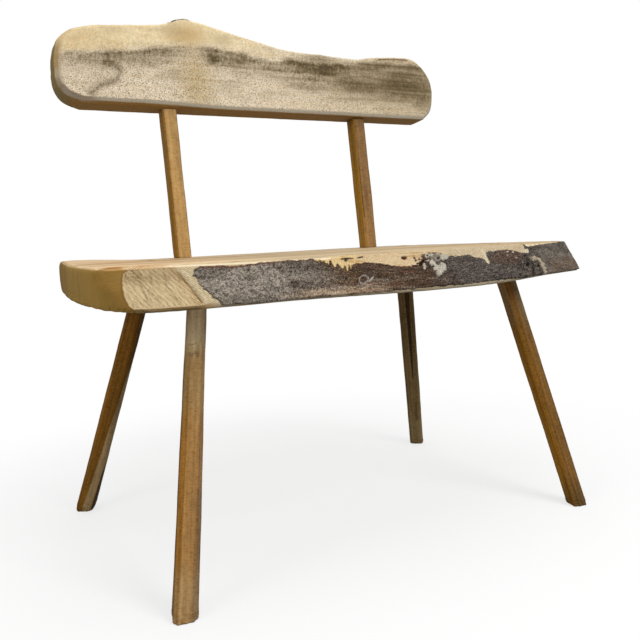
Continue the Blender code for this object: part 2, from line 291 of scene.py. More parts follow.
def seat_zones():
    """Split the slab's surface into its cross-cut left end, the sawn facet and the bared front."""
    places = read(seat)
    normals = read(seat, "normal")
    x, y, z = places.T
    rightward, rearward, upward = normals.T
    wobble = 0.0006 * lumps(places, 0.008, 5)
    past_edge = x + wobble - np.interp(z, *FACET_EDGE.T)
    past_ridge = x + wobble - np.interp(z, *FACET_RIDGE.T)
    side = np.maximum(1 - ramp(0.9, 0.975, np.abs(upward)), ramp(0.4282, 0.4268, z))
    left_end = side * ramp(0.0008, -0.0008, past_edge) * ramp(-0.35, -0.36, x)
    front = ramp(-0.0008, 0.0008, past_edge) * ramp(0.15, 0.35, -rearward)
    facet = front * ramp(0.0008, -0.0008, past_ridge)
    facet = facet * within(z, FACET_TOE - 0.0006, FACET_TOE + 0.0006, FACET_CREST - 0.0006,
                           FACET_CREST + 0.0006)
    return places, normals, left_end, front, facet, past_edge, past_ridge


# Worked surface: a plane leaves shallow hollows, the saw leaves a ribbed facet. In metres:
PLANE_HOLLOWS = 0.00022
FACET_DEPTH = 0.001
LINE_DEPTH = 0.00008
STROKE_DEPTH = 0.0003
LINE_SPACING = 0.0044              # of the saw lines
STROKE_SLANT = 0.42                # how far a stroke runs along the bench as it falls
RIDGE_SWELL = 0.0007               # bared wood beside the facet
RIDGE_GROOVE = 0.0006
LOW_RIM_FILL = 0.0028              # puts back what smoothing takes off the low rim
LEFT_END_OUT = 0.0036              # how far the left end stands beyond the plain sawn outline
REAR_WARP = 0.0032                 # how far the rear left of the top curls up
places, normals, left_end, front, facet, past_edge, past_ridge = seat_zones()


def saw_marks(places):
    """Marks of the saw on the facet, -1 to 1: straight lines and short slanting strokes."""
    x, y, z = places.T
    wander = 0.0022 * lumps(places, (0.03, 0.012, 0.012), 2)
    lines = np.sin((x - 0.06 * z + wander) * 2 * math.pi / LINE_SPACING)
    slanted = np.stack((x + STROKE_SLANT * z, 0 * y, z), 1)
    strokes = lumps(slanted, (0.0013, 1.0, 0.0042), 9, 2)
    return lines, strokes


x, y, z = places.T
rightward, rearward, upward = normals.T
lines, strokes = saw_marks(places)
lift = PLANE_HOLLOWS * lumps(places, (0.09, 0.03, 0.03), 1)
lift += facet * (-FACET_DEPTH + LINE_DEPTH * lines + STROKE_DEPTH * strokes
                 + 0.0002 * lumps(places, 0.01, 3))
lift += left_end * 0.0003 * lumps(places, (0.05, 0.016, 0.05), 4)
swell = RIDGE_SWELL * np.exp(-((past_ridge - 0.004) / 0.003) ** 2)
groove = RIDGE_GROOVE * np.exp(-(past_ridge / 0.0016) ** 2)
lift += front * ramp(0.3835, 0.386, z) * (swell - groove)
low_round = ramp(0.1, 0.45, -upward) * ramp(0.1, 0.45, -rightward)
low_round = low_round * ramp(-0.09, -0.05, y)
fill = LOW_RIM_FILL - 0.0022 * ramp(0.04, 0.2, y)
lift += fill * low_round * ramp(-0.32, -0.34, x)
places += normals * lift[:, None]
places[:, 0] -= (LEFT_END_OUT * ramp(0.3, 0.7, -rightward) * ramp(-0.36, -0.375, x)
                 * ramp(-0.2, -0.13, y))


def right_trim(places):
    """How far the sawn right end is dressed back, more at its top."""
    return (0.002 + 0.0018 * ramp(0.385, 0.425, places[:, 2])) * ramp(0.36, 0.39, places[:, 0])


places[:, 2] += REAR_WARP * (ramp(-0.26, -0.35, x) * ramp(0.03, 0.25, y) * ramp(0.4, 0.425, z))
places[:, 0] -= right_trim(places)
move(seat, places)

bores = bmesh.new()
for stave in STAVES:
    rod_along(bores, *through_seat(stave, BORE_SPARE), BORE_WIDTH, BORE_SIDES)
bores = set_up("bores", bores)
bored = seat.modifiers.new("bored", "BOOLEAN")
bored.operation = "DIFFERENCE"
bored.solver = "MANIFOLD"
bored.object = bores
take_shape(seat)
bpy.data.objects.remove(bores)

# Tint: cream top, browner below, brown oiled ends, a mottled facet and greyish bared wood
places, normals, left_end, front, facet, past_edge, past_ridge = seat_zones()
x, y, z = places.T
rightward, rearward, upward = normals.T
lines, strokes = saw_marks(places)
top = ramp(0.85, 0.97, upward)
rear_edge = np.interp(x, (-0.4, -0.25, 0.243, 0.414), (0.3, 0.19, 0.19, -0.15))
rear = ramp(-0.062, -0.018, y - rear_edge)
clouds = lumps(places, (0.45, 0.016, 0.03), 6)
heartwood = lumps(places, (0.7, 0.075, 0.06), 36)
mottle = lumps(places, 0.0034, 7)
bared = front * ramp(-0.001, 0.0005, past_ridge)
ridge_shade = (np.exp(-((past_ridge + 0.0012) / 0.0015) ** 2) * ramp(0.384, 0.386, z)
               * ramp(0.4225, 0.4165, z))
off_corner = left_end * ramp(-0.09, -0.02, y)
crest_rim = (ramp(0.4255, 0.4268, z) * within(x, -0.41, -0.395, -0.335, -0.315)
             * ramp(-0.1, -0.118, y))
# The rounded rim of the left end, where a highlight is painted
end_rim_highlight = within(upward, 0.93, 0.975, 0.992, 0.9995) * ramp(-0.345, -0.362, x)
hatch = np.sin((x + 1.0 * z + 0.0008 * mottle) * 2 * math.pi / 0.004)
forward = ramp(0.05, 0.2, -rearward) * ramp(-0.335, -0.315, x)
shaken = np.stack((x, z), 1) + 0.0005 * mottle[:, None]
scar_reaches = [from_line(shaken, scar) for scar in FACET_SCARS]
tint = coats(
    ground("#cfb996", places),
    # The planed top, the underside, the rear and the right end
    (ramp(-0.12, -0.34, x) * 0.8, "#f2d2a8"),
    (top * ramp(0.0, 0.6, clouds) * 0.6, "#a0855c"),
    (top * ramp(0.0, 0.5, heartwood) * 0.45, "#a3855a"),
    (top * ramp(0.1, 0.45, -clouds) * 0.5, "#d9c7a5"),
    (ramp(0.5, 0.9, -upward) * 0.9, "#93734a"),
    (ramp(0.3, 0.6, rearward) * 0.8, "#a98553"),
    (ramp(0.4, 0.6, rightward), "#9d7b48"),
    # Bared wood between the facet and the bark, with the thin edge below it
    (bared * 0.95, "#b8aa88"),
    (bared * 0.6 * ramp(0.0, 0.35, mottle), "#d6c7a4"),
    (bared * 0.5 * ramp(0.0, 0.4, -mottle), "#9c8b69"),
    (bared * 0.75 * ramp(0.4232, 0.4248, z), "#d2b98f"),
    (front * ramp(0.387, 0.3835, z) * ramp(-0.33, -0.28, x), "#94866d"),
    (ramp(0.3846, 0.3834, z) * ramp(-0.29, -0.31, x) * ramp(0.2, 0.4, -rearward), "#84704e"),
    # The sawn facet, with its strokes, lines and scars, and a painted highlight along its left edge
    (facet, "#c4b08b"),
    (facet * 0.4 * ramp(0.404, 0.415, z), "#8a7450"),
    (facet * 0.7 * ramp(-0.35, -0.322, x) * ramp(0.4125, 0.401, z), "#cbb58e"),
    (facet * 0.26 * ramp(0.05, 0.45, strokes), "#6a5635"),
    (facet * 0.28 * ramp(0.05, 0.45, -strokes), "#dfcca6"),
    (facet * 0.3 * ramp(0.3, 0.9, lines) * ramp(-0.25, 0.3, mottle), "#6d5938"),
    (facet * 0.5 * ramp(0.408, 0.417, z) * ramp(-0.352, -0.366, x)
     * ramp(-0.4, 0.2, mottle), "#79633f"),
    *((facet * 0.3 * ramp(0.0018, 0.0006, reach), "#665132") for reach in scar_reaches),
    # Painted highlight: a pale line along the facet's left edge
    (facet * 0.6 * ramp(0.0026, 0.0006, past_edge), "#d3bd93"),
    (front * 0.9 * ridge_shade, "#735c3b"),
    # The oiled left end, with painted shade on the part that turns to face the front, and faint
    # upright streaks
    (left_end, "#99742f"),
    # Painted shade on the part of the left end that faces the front
    (left_end * ramp(0.02, 0.55, -rearward) * 0.85, "#694b1c"),
    (left_end * 0.45 * ramp(0.02, 0.16, y), "#6a4b1b"),
    (off_corner * 0.35 * ramp(0.0, 0.5, lumps(places, (0.02, 0.008, 0.08), 8)), "#6f5022"),
    (off_corner * 0.2 * ramp(0.0, 0.5, lumps(places, (0.02, 0.0036, 0.05), 37)), "#a9854a"),
    (left_end * 0.5 * np.exp(-((past_edge + 0.0016) / 0.001) ** 2), "#4d3512"),
    # The arris of the top, hatched by the saw above the facet, with painted highlights along the
    # left end's rounded rim, on the hatch and along the front crest
    # Painted highlight along the rounded rim of the left end
    (0.75 * end_rim_highlight * ramp(-0.13, -0.1, y), "#e8cda3"),
    (crest_rim * 0.75, "#b8905c"),
    # Pale strokes on the right of the crest rim: the hatch is the saw's, its paleness is painted
    # highlight
    (crest_rim * 0.8 * ramp(0.0, 0.7, hatch) * ramp(-0.386, -0.374, x), "#f0d9b2"),
    (crest_rim * 0.75 * ramp(-0.376, -0.384, x), "#a97a3c"),
    (0.7 * forward * ramp(0.4266, 0.4256, z) * ramp(-0.15, -0.19, x)
     * ramp(0.0, 0.6, hatch), "#8d6c42"),
    # Painted highlight: a bright line along the front crest of the top
    (0.8 * forward * within(z, 0.426, 0.4268, 0.4275, 0.4285), "#f2e2c2"),
    # A dark streak along the rear
    (0.85 * top * rear * within(x, 0.0, 0.1, 0.3, 0.36)
     * ramp(-0.6, 0.1, clouds), "#665338"))
# On the facet the fibres are torn along the slanting strokes of the saw, in short lengths
torn = np.stack((28 * (z - FACET_TOE), 1.4 * (x + STROKE_SLANT * z), np.zeros_like(z)), 1)
grain = places - PITH
grain = grain + facet[:, None] * (torn - grain)
paint(seat, figure=1 - 0.95 * np.maximum(left_end, 0.8 * bared), tint=tint, grain=grain)


def add(tree, kind, inputs, **settings):
    """Add a shader node with its settings, and set or link its inputs."""
    node = tree.nodes.new("ShaderNode" + kind)
    for key, value in settings.items():
        setattr(node, key, value)
    for key, value in inputs.items():
        if isinstance(value, bpy.types.NodeSocket):
            tree.links.new(value, node.inputs[key])
        else:
            node.inputs[key].default_value = value
    return node.outputs


def new_finish(name, roughness, gloss):
    """Start a material and return it with its tree and its shader."""
    material = bpy.data.materials.new(name)
    material.use_nodes = True
    shader = material.node_tree.nodes["Principled BSDF"]
    shader.inputs["Roughness"].default_value = roughness
    shader.inputs["Specular IOR Level"].default_value = gloss
    return material, material.node_tree, shader


def give(piece, material):
    """Give a piece its one material and shade it smooth."""
    piece.data.materials.clear()
    piece.data.materials.append(material)
    piece.data.shade_smooth()


def streaks(tree, along, across, detail=2.0):
    """Streaks of the wood, 0 to 1, of a length and a width in millimetres."""
    grain = add(tree, "Attribute", {}, attribute_name="grain")["Vector"]
    per_metre = (1000 / along, 1000 / across, 1000 / across)
    stretched = add(tree, "VectorMath", {0: grain, 1: per_metre}, operation="MULTIPLY")["Vector"]
    return add(tree, "TexNoise", {"Vector": stretched, "Scale": 1.0, "Detail": detail,
                                  "Roughness": 0.55})["Fac"]


def growth_rings(tree, width, wander):
    """Late wood of the growth rings, 0 to 1, with a ring width and a wander in millimetres."""
    grain = add(tree, "Attribute", {}, attribute_name="grain")["Vector"]
    outward = add(tree, "VectorMath", {0: grain, 1: (0.0, 1000.0, 1000.0)},
                  operation="MULTIPLY")["Vector"]
    radius = add(tree, "VectorMath", {0: outward}, operation="LENGTH")["Value"]
    wavy = add(tree, "Math", {0: streaks(tree, 220, 45), 1: wander, 2: radius},
               operation="MULTIPLY_ADD")["Value"]
    turns = add(tree, "Math", {0: wavy, 1: width}, operation="DIVIDE")["Value"]
    part = add(tree, "Math", {0: turns, 1: 1.0}, operation="PINGPONG")["Value"]
    return add(tree, "MapRange", {"Value": part, "From Min": 0.35, "From Max": 0.95},
               interpolation_type="SMOOTHSTEP")["Result"]


def oiled_wood(name, rings, fibre_depth, chatter_depth, pores):
    """Oiled wood: its painted tint deepens along rings, fibres and the chatter of a plane, each by
    its own depth, and is flecked with pores, where the piece shows its figure. The sheen is dull.
    Sizes are in millimetres. Real pores are finer, and are drawn as coarse as they need to show."""
    ring_width, wander, ring_depth = rings
    pore_length, pore_width, pore_share, pore_colour = pores
    material, tree, shader = new_finish(name, 0.65, 0.08)
    tint = add(tree, "Attribute", {}, attribute_name="tint")["Color"]
    figure = add(tree, "Attribute", {}, attribute_name="figure")["Fac"]
    fibres = streaks(tree, 90, 1.8, 3.0)
    depth = add(tree, "Math", {0: growth_rings(tree, ring_width, wander), 1: ring_depth},
                operation="MULTIPLY")["Value"]
    # Fibres, long dark lines and chatter: the part of each pattern that shows, and its depth
    for pattern, least, most, share in (
            (fibres, 0.3, 0.75, fibre_depth),
            (streaks(tree, 420, 3.6), 0.58, 0.7, fibre_depth),
            (streaks(tree, 1.6, 6.0), 0.48, 0.7, chatter_depth)):
        shown = add(tree, "MapRange", {"Value": pattern, "From Min": least,
                                       "From Max": most})["Result"]
        depth = add(tree, "Math", {0: shown, 1: share, 2: depth}, operation="MULTIPLY_ADD")["Value"]
    depth = add(tree, "Math", {0: depth, 1: figure, 2: 0.85}, operation="MULTIPLY_ADD")["Value"]
    wood = add(tree, "Gamma", {"Color": tint, "Gamma": depth})["Color"]
    specks = add(tree, "MapRange", {"Value": streaks(tree, pore_length, pore_width), "From Min": 0.5,
                                    "From Max": 0.66, "To Max": pore_share})["Result"]
    specks = add(tree, "Math", {0: specks, 1: figure}, operation="MULTIPLY")["Value"]
    flecked = add(tree, "Mix", {0: specks, 6: wood, 7: (*linear(pore_colour), 1.0)},
                  data_type="RGBA")[2]
    tree.links.new(flecked, shader.inputs["Base Color"])
    bump = add(tree, "Bump", {"Height": fibres, "Distance": 0.0004, "Strength": 0.35})["Normal"]
    tree.links.new(bump, shader.inputs["Normal"])
    return material


# Planed hardwood: cream with soft wide rings, long dark fibre lines and fine pores
give(seat, oiled_wood(
    "oiled_hardwood_slab", (4.6, 9.0, 0.25), 0.35, 0.0, (8.0, 1.2, 0.22, "#6b4a25")))
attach(seat, "root")
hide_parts("seat_slab")


# Front bark
# The bark of the log, left on the leaning front of the slab. It is crumbly and grey on the
# left, streaky and browner on the right, with bared wood, lichen, insect holes and a knot scar.
BARK_MESH = 0.00125
BARK_PROUD = 0.0014                # how far the bark stands out from the bared wood
bark_low, bark_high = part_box("front_bark")
# Upper and lower edge of the bark, as places along the bench and heights
CREST = np.array((
    (-300, 425), (-268, 424.7), (-255, 423.2), (-242, 424), (-234, 425.5), (-214, 427),
    (-169, 427.5), (-146, 427.3), (-131, 425.8), (-121, 425.8), (-115, 429), (250, 429),
    (262, 424.2), (310, 426.5), (360, 427.6), (420, 428.5))) / 1000
TOE = np.array((
    (-300, 380.8), (-244, 380.2), (-161, 380.2), (-79, 381.2), (14, 382.4), (133, 382.6),
    (187, 381.2), (276, 380.2), (366, 380.2))) / 1000
LEFT_EDGE = np.array((
    (380.3, -290.5), (386, -292.8), (391.8, -297.2), (400, -303), (409, -302), (416, -301.6),
    (419.4, -297.8), (424.5, -290.2))) / 1000
# Lower edge of the wood that lies bare where bark has fallen off
BARE_TOE = np.array((
    (-154, 431), (-145, 427.2), (-126, 424.5), (-117.8, 420.5), (-108.5, 413.1), (-97.7, 416.4),
    (-82.6, 419.6), (-68.1, 419.8), (-51.6, 418.9), (-43.3, 417.4), (-23.6, 412.1), (-2, 410.8),
    (9.8, 412.4), (21.8, 414.9), (31.8, 420), (42, 426.2), (73, 425.6), (80.1, 420.7), (118, 420.4),
    (120.2, 415.7), (131.3, 415.8), (133.3, 408.5), (137.3, 417), (147.4, 422.5), (159.1, 425),
    (195, 424.5), (209.3, 421.5), (241.4, 417.2), (250.8, 434))) / 1000
# Marks on the bark, in millimetres. Insect holes and pits: along, height, half width, half height
PITS = (
    (6.1, 422.9, 5.7, 3), (22.8, 422, 2.3, 1.8), (19.8, 418.6, 2.1, 1.7), (28.2, 419.9, 2.6, 1.8),
    (46.2, 422.7, 2.8, 1.3), (48, 408.9, 1.8, 1.2), (38.8, 418.6, 3.4, 2), (30, 416.8, 2.8, 2.2),
    (21.4, 414, 4, 3), (16.7, 411.8, 2.4, 1.9), (15.6, 414.2, 1.9, 1.5), (29.7, 409.6, 3.2, 2.3),
    (34.4, 408.7, 2.8, 1.9), (59.7, 418.7, 2.8, 1.6), (61.2, 414.7, 6.2, 1.2),
    (-236.8, 420.9, 1.3, 1.4), (-116, 402.3, 1.8, 1.6), (227.7, 401.1, 6.9, 2.9),
    (260.7, 396.3, 4.7, 2.4), (239, 390.7, 5.3, 2.4), (191.2, 388, 5.9, 2.2), (202.1, 382.7, 7, 2),
    (261.1, 382, 4.4, 3.3), (231.1, 413.3, 4.2, 1.7))
# Crusts of lichen, wood chips and bare flecks: along, height, half width, half height, colour
CRUSTS = (
    (59.5, 419.8, 12, 6, "#82776a"), (71.9, 419.9, 8.6, 4.6, "#b9b2a0"),
    (66.5, 423.5, 4, 1.8, "#a79c8a"), (45.4, 405.7, 7.8, 7, "#bab4a5"),
    (33, 400.8, 6.2, 5.4, "#b7b1a2"), (39.4, 413.2, 4.8, 3.8, "#c2bbaa"),
    (38.3, 410.3, 4.2, 3.8, "#bfb9a8"), (35.2, 406.6, 5.2, 4.6, "#b9b3a4"),
    (37, 416.6, 2.6, 2, "#bfb6a2"), (19.6, 409.4, 2.8, 4.4, "#bdb4a1"),
    (53, 422.5, 3.4, 2, "#b5aa98"), (46.3, 422.8, 5.4, 3.4, "#c9c1ad"),
    (246.9, 420.1, 7.5, 3.6, "#d3c6ac"), (190.5, 420.7, 3, 1.2, "#cfc0a8"),
    (203.5, 419.5, 3.4, 1.3, "#c9b8a0"), (183, 415, 3, 1.1, "#a08d7b"),
    (201, 410.5, 4.2, 1.2, "#a3907d"))
RING_SCAR = (-92.1, 398.9, 6.8, 4.5)
RING_TAIL = ((-86, 394.5), (-81, 397.2), (-76, 399.2))
KNOT = (222, 393, 44, 16)
KNOT_RIM = ((242, 406.6), (256, 407.2), (266, 404.4), (271.8, 397.5), (274.5, 389), (273.5, 381.2))
BARK_REMAINS = ((-92.5, 426.2, 12.5, 1.2), (-96.8, 424, 3.4, 1.8), (-68, 426.2, 7, 0.8))
PALE_SPIKE = ((146.5, 425), (140.4, 415.8), (134.5, 407.2))
RAISED_PATCH = (183.8, 413.5, 42, 11)

bark_skin = merged_copy("front_bark")
front_face = BVHTree.FromBMesh(bark_skin)
bark = set_up("front_bark_rough", bark_skin)
even_mesh(bark, BARK_MESH, 2)


def front_at(x, height):
    """How far back the natural face lies at a place along the bench and a height."""
    return front_face.ray_cast(Vector((x, cad_low.y - 0.1, height)), Vector((0, 1, 0)))[0].y


# Lean of the face, measured half way up it, at places along the bench
HALF_WAY = 0.404
LEAN_RISE = 0.024
lean_places = np.linspace(bark_low.x + 0.012, bark_high.x - 0.06, 80)
leans = [(front_at(x, HALF_WAY + LEAN_RISE / 2) - front_at(x, HALF_WAY - LEAN_RISE / 2)) / LEAN_RISE
         for x in lean_places]

# Ragged edges: the bark creeps over the bare strips above and below it, and over its left end
EDGE_REACH = 0.014                 # width of the strip that follows an edge
LEFT_REACH = 0.016
places = read(bark)
x, y, z = places.T
along = places[:, :1] * (1, 0, 0)
crest = np.interp(x, *CREST.T) + 0.0009 * lumps(along, 0.008, 11)
toe = np.interp(x, *TOE.T) + 0.0008 * lumps(along, 0.007, 12)
up_shift = (crest - bark_high.z) * ramp(bark_high.z - EDGE_REACH, bark_high.z, z)
up_shift += (toe - bark_low.z) * ramp(bark_low.z + EDGE_REACH, bark_low.z, z)
lean = np.interp(x, lean_places, leans)
left_edge = np.interp(z, *LEFT_EDGE.T) + 0.004 * lumps(places, 0.0045, 13)
side_shift = (left_edge - bark_low.x) * ramp(bark_low.x + LEFT_REACH, bark_low.x, x)
side_shift = side_shift - right_trim(places)
places += np.stack((side_shift, lean * up_shift, up_shift), 1)
move(bark, places)

lean = np.interp(x, lean_places, leans)
slope = np.hypot(1.0, lean)
outward = np.stack((np.zeros_like(lean), -1 / slope, lean / slope), 1)
facing = ramp(0.1, 0.6, (read(bark, "normal") * outward).sum(1))
flat = np.stack((x, (z - seat_low.z) * slope, np.zeros_like(lean)), 1)


def spot(*mark):
    """Distance from a mark on the bark, 1 at its rim. Marks slant with the lean of the face."""
    along, height, half_width, half_height = np.array(mark) / 1000
    slant = np.interp(along, (-0.3, 0.05, 0.25), (0.36, 0.81, 1.03)) * lean
    rise = z + BARK_PROUD - height
    return np.hypot((x - along - slant * rise) / half_width, rise / half_height)


# Relief: crumbs on the left, long ridges on the right, cracks and swells. In metres:
CRUMB_HEIGHT = 0.0011
GRIT_HEIGHT = 0.0003
SWELL_HEIGHT = 0.0007
CRACK_DEPTH = 0.0007
RAISED_BY = 0.0014                 # the raised patch
KNOT_RIM_HEIGHT = 0.0018
SCAR_HEIGHT = 0.0005
PIT_DEPTH = 0.0026
RIB_SPACING = 0.0036               # of the slanting ribs on the bared wood
ridges = lumps(flat, (0.022, 0.004, 1.0), 14)
crumbs = lumps(flat, (0.0022, 0.0032, 1.0), 15)
grit = lumps(flat, 0.0021, 25, 2)
swells = lumps(flat, (0.055, 0.022, 1.0), 16)
cracks = 1 - ramp(0.0, 0.1, np.abs(lumps(flat, (0.024, 0.006, 1.0), 17, 2)))
streaky = ramp(-0.17, -0.06, x + 0.02 * swells)
smoother = ramp(0.262, 0.285, x)
relief = ridges * (0.15 + 0.65 * streaky) + crumbs * (0.75 - 0.35 * streaky)
relief *= 1 - 0.5 * smoother
teeth = lumps(np.stack((x - 0.45 * flat[:, 1], flat[:, 1], 0 * x), 1), (0.0032, 0.012, 1.0), 35, 2)
teeth *= within(x, -0.155, -0.135, -0.105, -0.085)
raggedness = 0.0015 * lumps(flat, 0.006, 18) + 0.0012 * lumps(flat, 0.003, 28)
raggedness += 0.0075 * teeth
above_bare = z + raggedness + BARK_PROUD - np.interp(x, *BARE_TOE.T)
bare = ramp(-0.0004, 0.0004, above_bare)
for remains in BARK_REMAINS:
    bare = np.minimum(bare, ramp(0.8, 1.2, spot(*remains) + 0.3 * lumps(flat, 0.004, 33)))
spike_reach = from_line(np.stack((0.6 * x, z), 1), [(0.6 * a, b) for a, b in PALE_SPIKE])
spike = ramp(0.0022, 0.001, spike_reach)
bare = np.maximum(bare, spike)
height = BARK_PROUD + CRUMB_HEIGHT * relief + GRIT_HEIGHT * grit + SWELL_HEIGHT * swells
height = height - CRACK_DEPTH * cracks * (1 - smoother)

raised = 1 - ramp(0.85, 1.0, spot(*RAISED_PATCH) + 0.12 * lumps(flat, 0.01, 19))
height += RAISED_BY * raised
bare *= 1 - raised
in_knot = 1 - ramp(0.75, 1.0, spot(*KNOT) + 0.1 * lumps(flat, 0.012, 20))
knot_lumps = lumps(flat, 0.0075, 21)
rim_reach = from_line(np.stack((0.47 * x, z), 1), [(0.47 * a, b) for a, b in KNOT_RIM])
knot_rim = ramp(0.0036, 0.002, rim_reach + 0.0022 * lumps(flat, 0.005, 34)) * ramp(0.236, 0.252, x)
height += KNOT_RIM_HEIGHT * knot_rim - in_knot * (0.0006 + 0.0014 * knot_lumps)
to_ring = spot(*RING_SCAR) + 0.12 * lumps(flat, 0.005, 29)
ring_scar = np.exp(-((to_ring - 1.0) / 0.12) ** 2) * ramp(-1.0, -0.2, lumps(flat, 0.006, 30))
ring_tail = ramp(0.0012, 0.0004, from_line(np.stack((x, z), 1), RING_TAIL))
height += SCAR_HEIGHT * np.maximum(ring_scar, ring_tail)
crust_edge = 0.22 * lumps(flat, 0.005, 22)
crusts = [(1 - ramp(0.75, 1.05, spot(*place) + crust_edge), colour) for *place, colour in CRUSTS]
crust = np.max([share for share, colour in crusts], axis=0)
height += crust * (0.0007 + 0.0006 * lumps(flat, 0.004, 23))
pit = np.zeros_like(height)
for hole in PITS:
    pit = np.maximum(pit, 1 - ramp(0.65, 1.1, spot(*hole) + 0.15 * crumbs))
bare_ribs = np.sin((flat[:, 0] - 0.45 * flat[:, 1]) * 2 * math.pi / RIB_SPACING)
bare_ribs = bare_ribs * ramp(-0.3, 0.4, swells)
bare_height = 0.0005 + 0.00015 * bare_ribs + 0.0002 * lumps(flat, 0.012, 24)
height = height * (1 - bare) + bare_height * bare - PIT_DEPTH * pit
move(bark, places + outward * (height * facing)[:, None])

# Tint of the bark, from the left to the right
crisp = 2 * ramp(-0.38, 0.38, crumbs) - 1
shaded = ramp(0.404, 0.414, z) * within(x, -0.215, -0.185, -0.14, -0.115)
lower = ramp(0.393, 0.3855, z) * within(x, -0.23, -0.16, -0.11, -0.04)
rusty = ramp(0.05, 0.5, lumps(flat, (0.034, 0.006, 1.0), 26)) * ramp(-0.16, -0.1, x)
rusty = rusty * (1 - smoother)
pale_streak = ramp(0.3, 0.6, lumps(flat, (0.016, 0.0026, 1.0), 27)) * streaky * (1 - smoother)
far_mottle = lumps(flat, (0.022, 0.01, 1.0), 31)
tint = coats(
    ground("#877e72", x),
    # Grey, then brown, then grey again, with darker swells
    (ramp(-0.25, -0.12, x + 0.05 * swells), "#6a5e53"),
    (0.85 * ramp(-0.15, -0.12, x + 0.03 * swells), "#523f2d"),
    (ramp(-0.1, 0.0, x + 0.03 * swells), "#473629"),
    (0.9 * ramp(0.01, 0.07, x + 0.02 * swells), "#534c47"),
    (0.5 * ramp(0.05, 0.5, swells), "#423932"),
    (0.25 * ramp(0.1, 0.55, -swells) * ramp(0.05, -0.1, x), "#a3988a"),
    # Shaded and pale stretches of the left half
    (0.4 * ramp(0.396, 0.387, z) * ramp(-0.205, -0.235, x), "#5c534a"),
    (0.55 * shaded, "#463d35"),
    (0.6 * within(x, -0.155, -0.13, -0.1, -0.07) * ramp(0.39, 0.397, z), "#4d3a25"),
    (0.85 * lower * ramp(-0.9, 0.0, ridges), "#b09a82"),
    # Rusty and pale streaks, and the raised patch
    (0.5 * rusty * ramp(0.07, 0.01, x), "#63412e"),
    (0.4 * pale_streak, "#8f7f6d"),
    (raised * 0.8, "#58463a"),
    # The smoother right end
    (smoother, "#625a51"),
    (smoother * 0.6 * ramp(0.0, 0.4, far_mottle), "#48443e"),
    (smoother * 0.5 * ramp(0.05, 0.4, -far_mottle), "#7e766c"),
    (smoother * 0.6 * ramp(0.408, 0.396, z) * ramp(0.285, 0.315, x), "#715e4f"))
grain_depth = (1 - 0.5 * smoother) * (1 - 0.45 * lower)
ridge_depth = 0.55 - 0.25 * ramp(0.03, 0.09, x)
tint *= np.clip(1 + grain_depth * (0.34 * crisp * (1 - 0.25 * streaky) + 0.4 * grit)
                + ridge_depth * ridges * streaky * grain_depth, 0.22, 1.9)[:, None]
inner = ramp(0.005, 0.0, np.abs(above_bare)) * ramp(-0.5, 0.3, swells + ridges)
inner = inner * ramp(0.1, 0.05, x)
inner = np.maximum(inner, ramp(crest - 0.0038, crest - 0.001, z) * ramp(-0.18, -0.215, x))
tint = coats(
    tint,
    # The cracks are painted dark, partly as painted shade in them
    (0.6 * cracks * (1 - 0.8 * smoother), "#241c17"),
    (0.75 * inner * (1 - bare), "#5d3a29"))
# Bared wood
cream = coats(
    ground("#ccb591", x),
    (0.5 * ramp(-0.06, -0.08, x), "#d8bd7f"),
    (0.45 * ramp(0.0, 0.8, bare_ribs * (0.6 + crumbs)), "#9a7a4e"),
    (0.6 * ramp(0.2, 0.6, lumps(flat, (0.03, 0.004, 1.0), 32)), "#a6824f"),
    (0.7 * ramp(0.07, 0.09, x), "#b7a88e"),
    (spike, "#c6ba9c"))
tint = tint * (1 - bare)[:, None] + cream * bare[:, None]
tint = coats(
    tint,
    # The knot, the crusts, the ring scar and the pits
    (in_knot * 0.5 * ramp(0.0, 0.4, -knot_lumps), "#1f1712"),
    (in_knot * 0.4 * ramp(0.1, 0.5, knot_lumps), "#7d7165"),
    *((0.9 * share, colour) for share, colour in crusts),
    (crust * 0.45 * ramp(0.0, 0.5, crumbs + 0.5 * grit), "#7d776c"),
    (0.45 * ramp(0.95, 0.75, to_ring), "#40362f"),
    (0.7 * np.maximum(ring_scar, ring_tail), "#b4afa6"),
    (0.8 * knot_rim, "#b7a891"),
    # Near black in the insect holes and pits: painted shade
    (0.95 * pit, "#1d140e"),
    (0.8 * pit * ramp(0.01, 0.006, np.abs(x - 0.0061)) * ramp(0.3, 0.9, pit), "#4a1f10"))
paint(bark, tint=tint)

# Weathered bark: dead matt, with a fine dusty grain that breaks up every tint
DUST_SIZE = 1.4                    # in millimetres: coarser than real dust, so that it shows
bark_finish, tree, shader = new_finish("weathered_bark", 0.95, 0.1)
bark_tint = add(tree, "Attribute", {}, attribute_name="tint")["Color"]
bark_place = add(tree, "TexCoord", {})["Object"]
dust = add(tree, "TexNoise", {"Vector": bark_place, "Scale": 1000 / DUST_SIZE, "Detail": 3.0,
                              "Roughness": 0.65})["Fac"]
dust_depth = add(tree, "MapRange", {"Value": dust, "From Min": 0.3, "From Max": 0.7, "To Min": 1.68,
                                    "To Max": 0.5})["Result"]
bark_colour = add(tree, "Gamma", {"Color": bark_tint, "Gamma": dust_depth})["Color"]
tree.links.new(bark_colour, shader.inputs["Base Color"])
bump = add(tree, "Bump", {"Height": dust, "Distance": 0.0008, "Strength": 0.5})["Normal"]
tree.links.new(bump, shader.inputs["Normal"])
give(bark, bark_finish)
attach(bark, "root")
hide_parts("front_bark")


# Legs and back posts
# Split staves, shaved roughly square with a drawknife and oiled. Legs are staked up into the
# slab and posts down into it. Each stave has its own tint, from honey to dark umber.
STAVE_MESH = 0.0009
STAVE_PITH = np.array((0.0, 0.021, 0.016))
POST_CLEAR = 0.248                 # seen length of a post
ACROSS = np.array((0.87, -0.49, 0.0))     # side to side, seen from the front left
